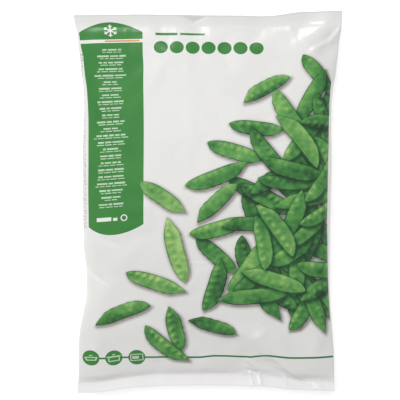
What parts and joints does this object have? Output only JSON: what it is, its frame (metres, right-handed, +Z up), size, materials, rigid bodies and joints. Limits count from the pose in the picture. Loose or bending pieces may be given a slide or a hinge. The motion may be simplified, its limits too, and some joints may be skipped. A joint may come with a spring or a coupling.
{
  "type": "frozen vegetable bag",
  "caption": "Filled pillow pack of opaque white printed film, sealed flat across both ends, lying on its back on a flat underside.",
  "frame": {"origin": "on the table, under the middle of the bag's bounding box", "axes": "+X across the bag to the right of the print, +Y to the bag's top end, +Z up through the printed front"},
  "size_m": [0.3, 0.426, 0.0695],
  "materials": {
    "film": "soft-gloss opaque white film, printed with a green panel and scattered green pods"
  },
  "bodies": {
    "root": {"film_bag": "film"}
  },
  "joints": []
}
